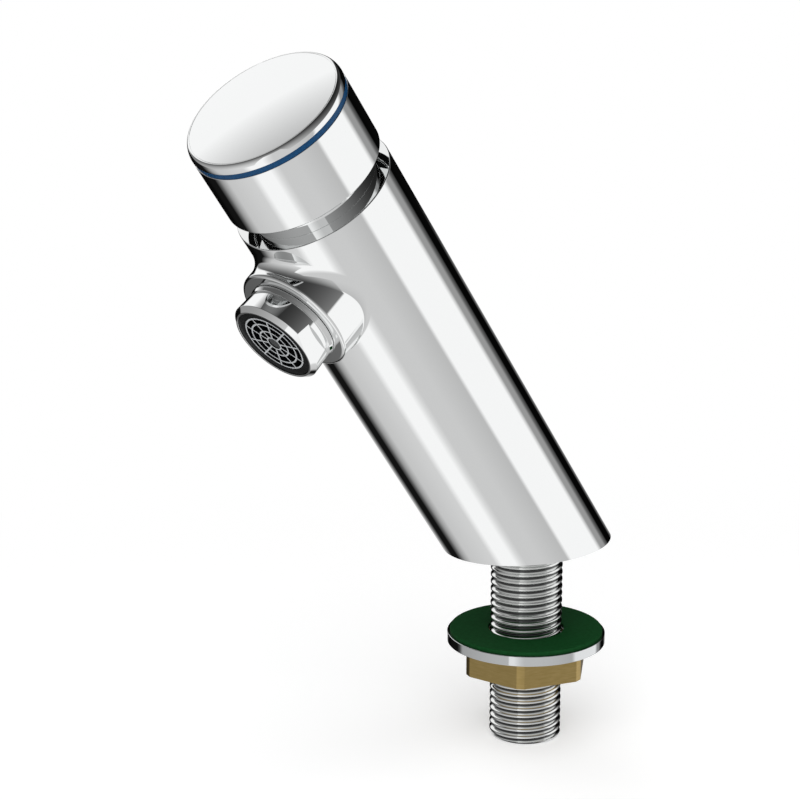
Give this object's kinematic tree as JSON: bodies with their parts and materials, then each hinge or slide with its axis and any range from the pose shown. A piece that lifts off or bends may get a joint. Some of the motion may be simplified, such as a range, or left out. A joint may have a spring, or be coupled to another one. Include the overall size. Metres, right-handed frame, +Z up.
{
  "type": "push timed tap",
  "caption": "Leaning chromed push-button basin tap with a front spout and aerator, a self-closing cartridge inside, and a threaded shank with gasket, washer and nut.",
  "frame": {"origin": "centre of the level base of the body, on the axis of the threaded shank", "axes": "+Z up along the shank, the body leans and the spout faces -Y, X runs across the tap"},
  "size_m": [0.0461, 0.1447, 0.2056],
  "materials": {
    "chrome": "polished chrome plate",
    "nickel_plate": "nickel plate",
    "blue_ring": "glossy",
    "brass": "turned",
    "white_plastic": "satin",
    "black_rubber": "matt",
    "steel": "bright",
    "grey_plastic": "satin",
    "black_plastic": "satin",
    "green_plastic": "satin",
    "green_gasket": "satin"
  },
  "bodies": {
    "tap": {"tap_body": "chrome", "guide_sleeve": "chrome", "cartridge_housing": "white_plastic", "cartridge_head": "white_plastic", "upper_o_ring": "black_rubber", "lower_o_ring": "black_rubber", "gland_o_ring": "black_rubber", "valve_seat": "brass", "return_spring": "steel", "aerator_housing": "chrome", "aerator_web": "grey_plastic", "aerator_insert": "black_plastic", "flow_regulator": "green_plastic", "aerator_sieve": "steel", "aerator_seal": "black_rubber", "threaded_shank": "nickel_plate", "shank_seal": "black_rubber", "inlet_strainer": "white_plastic", "base_seal_ring": "black_rubber"},
    "push_cap": {"cap_skirt": "chrome", "marker_ring": "blue_ring", "cap_cover": "chrome", "cap_nut": "brass", "spindle": "brass", "piston": "white_plastic", "piston_lip_seal": "black_rubber", "valve_disc": "brass", "valve_washer": "black_rubber", "valve_screw": "brass"},
    "flow_time_screw": {"timing_screw": "steel"},
    "clamp_set": {"base_gasket": "green_gasket", "clamp_washer": "steel"},
    "nut": {"fixing_nut": "brass"}
  },
  "joints": [
    {"name": "cap_push", "type": "slide", "parent": "tap", "child": "push_cap", "axis": [0, 0.6018, -0.7986], "range_m": [0, 0.005], "stiffness_N_per_m": 4000, "springref_m": -0.002, "deforming": ["return_spring"]},
    {"name": "flow_time_turn", "type": "hinge", "parent": "push_cap", "child": "flow_time_screw", "pos_m": [0, -0.09328, 0.12379], "axis": [0, -0.6018, 0.7986], "range_deg": [-270, 0]},
    {"name": "clamp_slide", "type": "slide", "parent": "tap", "child": "clamp_set", "axis": [0, 0, 1], "range_m": [-0.02, 0.0262]},
    {"name": "nut_turn", "type": "hinge", "parent": "clamp_set", "child": "nut", "pos_m": [0, 0, -0.035], "axis": [0, 0, 1], "range_deg": [-3970, 5200]}
  ],
  "couplings": [
    {"joint": "nut_turn", "follows": "clamp_slide", "rad_per_m": 3463.2}
  ]
}
